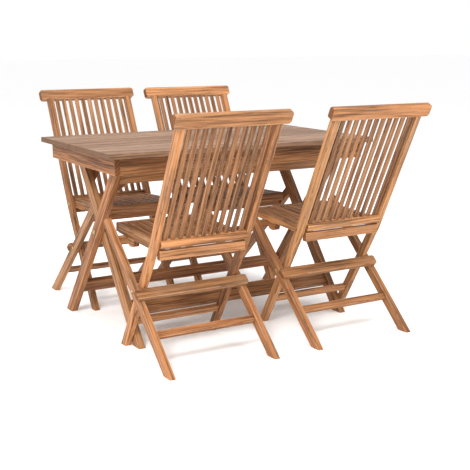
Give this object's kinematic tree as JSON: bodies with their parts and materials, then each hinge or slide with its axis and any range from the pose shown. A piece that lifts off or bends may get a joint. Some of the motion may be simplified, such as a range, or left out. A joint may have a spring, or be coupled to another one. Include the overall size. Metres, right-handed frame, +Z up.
{
  "type": "folding patio dining set",
  "caption": "Teak garden dining set: a rectangular slatted table on two crossed folding leg frames, with slatted folding chairs pushed in along both long sides.",
  "frame": {"origin": "on the floor under the middle of the table, which is also the middle of the whole set's footprint", "axes": "X runs along the length of the table, Y across it from chair side to chair side, Z is up"},
  "size_m": [1.2, 1.5172, 0.9202],
  "materials": {
    "teak_frame": "oiled, satin, sawn and sanded boards",
    "teak_top": "dry, slightly weathered, sanded boards",
    "teak_slats": "oiled, satin, thin planed slats",
    "bolt_metal": "dull solid brass"
  },
  "bodies": {
    "table_outer_frame": {"table_outer_legs": "teak_frame", "table_outer_top_bar": "teak_frame", "table_outer_stretcher": "teak_frame", "table_outer_braces": "teak_frame", "table_pivot_bolts": "bolt_metal", "table_hinge_bolts": "bolt_metal"},
    "table_inner_frame": {"table_inner_legs": "teak_frame", "table_inner_top_bar": "teak_frame", "table_inner_stretcher": "teak_frame", "table_inner_braces": "teak_frame"},
    "table_top": {"table_top_slats": "teak_top", "table_long_aprons": "teak_frame", "table_end_aprons": "teak_frame", "table_hinge_battens": "teak_frame", "table_cross_battens": "teak_frame", "table_catch_blocks": "teak_frame"},
    "chair_1_back": {"chair_1_back_posts": "teak_frame", "chair_1_head_rail": "teak_frame", "chair_1_back_slats": "teak_slats", "chair_1_lower_back_rail": "teak_frame", "chair_1_front_rung": "teak_frame", "chair_1_pivot_bolts": "bolt_metal", "chair_1_seat_bolts": "bolt_metal"},
    "chair_1_legs": {"chair_1_seat_legs": "teak_frame", "chair_1_leg_crossbars": "teak_frame"},
    "chair_1_seat": {"chair_1_seat_frame": "teak_frame", "chair_1_seat_slats": "teak_slats"},
    "chair_2_back": {"chair_2_back_posts": "teak_frame", "chair_2_head_rail": "teak_frame", "chair_2_back_slats": "teak_slats", "chair_2_lower_back_rail": "teak_frame", "chair_2_front_rung": "teak_frame", "chair_2_pivot_bolts": "bolt_metal", "chair_2_seat_bolts": "bolt_metal"},
    "chair_2_legs": {"chair_2_seat_legs": "teak_frame", "chair_2_leg_crossbars": "teak_frame"},
    "chair_2_seat": {"chair_2_seat_frame": "teak_frame", "chair_2_seat_slats": "teak_slats"},
    "chair_3_back": {"chair_3_back_posts": "teak_frame", "chair_3_head_rail": "teak_frame", "chair_3_back_slats": "teak_slats", "chair_3_lower_back_rail": "teak_frame", "chair_3_front_rung": "teak_frame", "chair_3_pivot_bolts": "bolt_metal", "chair_3_seat_bolts": "bolt_metal"},
    "chair_3_legs": {"chair_3_seat_legs": "teak_frame", "chair_3_leg_crossbars": "teak_frame"},
    "chair_3_seat": {"chair_3_seat_frame": "teak_frame", "chair_3_seat_slats": "teak_slats"},
    "chair_4_back": {"chair_4_back_posts": "teak_frame", "chair_4_head_rail": "teak_frame", "chair_4_back_slats": "teak_slats", "chair_4_lower_back_rail": "teak_frame", "chair_4_front_rung": "teak_frame", "chair_4_pivot_bolts": "bolt_metal", "chair_4_seat_bolts": "bolt_metal"},
    "chair_4_legs": {"chair_4_seat_legs": "teak_frame", "chair_4_leg_crossbars": "teak_frame"},
    "chair_4_seat": {"chair_4_seat_frame": "teak_frame", "chair_4_seat_slats": "teak_slats"}
  },
  "joints": [
    {"name": "table_leg_fold", "type": "hinge", "parent": "table_outer_frame", "child": "table_inner_frame", "pos_m": [0, 0, 0.39915], "axis": [1, 0, 0], "range_deg": [0, 56]},
    {"name": "table_top_tip", "type": "hinge", "parent": "table_outer_frame", "child": "table_top", "pos_m": [0, -0.235, 0.7067], "axis": [1, 0, 0], "range_deg": [0, 28]},
    {"name": "chair_1_slide", "type": "slide", "parent": "table_outer_frame", "child": "chair_1_back", "axis": [0, 1, 0], "range_m": [0, 0.496]},
    {"name": "chair_1_fold", "type": "hinge", "parent": "chair_1_back", "child": "chair_1_legs", "pos_m": [-0.227, 0.40029, 0.24881], "axis": [-1, 0, 0], "range_deg": [0, 62]},
    {"name": "chair_1_seat_fold", "type": "hinge", "parent": "chair_1_back", "child": "chair_1_seat", "pos_m": [-0.227, 0.497, 0.43], "axis": [-1, 0, 0], "range_deg": [0, 93]},
    {"name": "chair_2_slide", "type": "slide", "parent": "table_outer_frame", "child": "chair_2_back", "axis": [0, 1, 0], "range_m": [0, 0.496]},
    {"name": "chair_2_fold", "type": "hinge", "parent": "chair_2_back", "child": "chair_2_legs", "pos_m": [0.278, 0.35129, 0.24881], "axis": [-1, 0, 0], "range_deg": [0, 62]},
    {"name": "chair_2_seat_fold", "type": "hinge", "parent": "chair_2_back", "child": "chair_2_seat", "pos_m": [0.278, 0.448, 0.43], "axis": [-1, 0, 0], "range_deg": [0, 93]},
    {"name": "chair_3_slide", "type": "slide", "parent": "table_outer_frame", "child": "chair_3_back", "axis": [0, -1, 0], "range_m": [0, 0.496]},
    {"name": "chair_3_fold", "type": "hinge", "parent": "chair_3_back", "child": "chair_3_legs", "pos_m": [-0.316, -0.40029, 0.24881], "axis": [1, 0, 0], "range_deg": [0, 62]},
    {"name": "chair_3_seat_fold", "type": "hinge", "parent": "chair_3_back", "child": "chair_3_seat", "pos_m": [-0.316, -0.497, 0.43], "axis": [1, 0, 0], "range_deg": [0, 93]},
    {"name": "chair_4_slide", "type": "slide", "parent": "table_outer_frame", "child": "chair_4_back", "axis": [0, -1, 0], "range_m": [0, 0.496]},
    {"name": "chair_4_fold", "type": "hinge", "parent": "chair_4_back", "child": "chair_4_legs", "pos_m": [0.315, -0.40029, 0.24881], "axis": [1, 0, 0], "range_deg": [0, 62]},
    {"name": "chair_4_seat_fold", "type": "hinge", "parent": "chair_4_back", "child": "chair_4_seat", "pos_m": [0.315, -0.497, 0.43], "axis": [1, 0, 0], "range_deg": [0, 93]}
  ],
  "couplings": [
    {"joint": "table_top_tip", "follows": "table_leg_fold", "ratio": 0.5},
    {"joint": "chair_1_slide", "follows": "chair_1_fold", "m_per_rad": 0.45837},
    {"joint": "chair_1_seat_fold", "follows": "chair_1_fold", "ratio": 1.4999},
    {"joint": "chair_2_slide", "follows": "chair_2_fold", "m_per_rad": 0.45837},
    {"joint": "chair_2_seat_fold", "follows": "chair_2_fold", "ratio": 1.4999},
    {"joint": "chair_3_slide", "follows": "chair_3_fold", "m_per_rad": 0.45837},
    {"joint": "chair_3_seat_fold", "follows": "chair_3_fold", "ratio": 1.4999},
    {"joint": "chair_4_slide", "follows": "chair_4_fold", "m_per_rad": 0.45837},
    {"joint": "chair_4_seat_fold", "follows": "chair_4_fold", "ratio": 1.4999}
  ]
}
